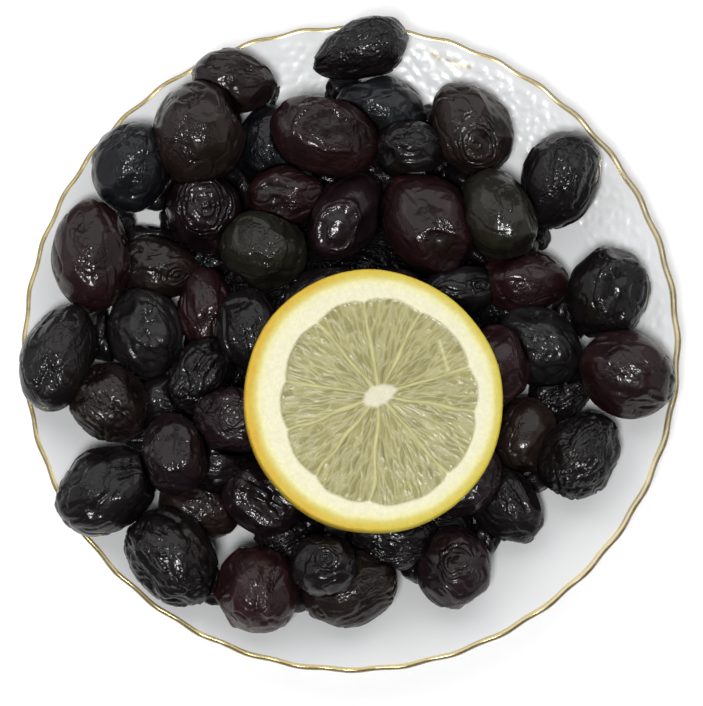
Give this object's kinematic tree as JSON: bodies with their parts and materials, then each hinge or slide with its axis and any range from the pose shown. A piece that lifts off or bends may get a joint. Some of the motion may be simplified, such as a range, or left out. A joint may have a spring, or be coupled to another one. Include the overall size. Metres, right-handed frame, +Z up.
{
  "type": "dish of olives",
  "caption": "Shallow round porcelain dish on a foot ring, heaped with black olives, with a round slice of lemon lying on top.",
  "frame": {"origin": "on the axis of the dish, at the height of the surface it stands on", "axes": "+Z up along the axis of the dish; -Y towards the viewer of the picture, +X to their right"},
  "size_m": [0.1604, 0.1604, 0.0409],
  "materials": {
    "porcelain": "glossy white glaze, a fine gold line on the edge and a low mottled relief on part of the rim",
    "olive_skin": "oily wrinkled skin, near-black with brown, red-brown and green-grey olives between",
    "lemon": "wet cut flesh in ten segments, cream pith and yellow zest"
  },
  "bodies": {
    "root": {"plate": "porcelain", "olives": "olive_skin", "lemon_slice": "lemon"}
  },
  "joints": []
}
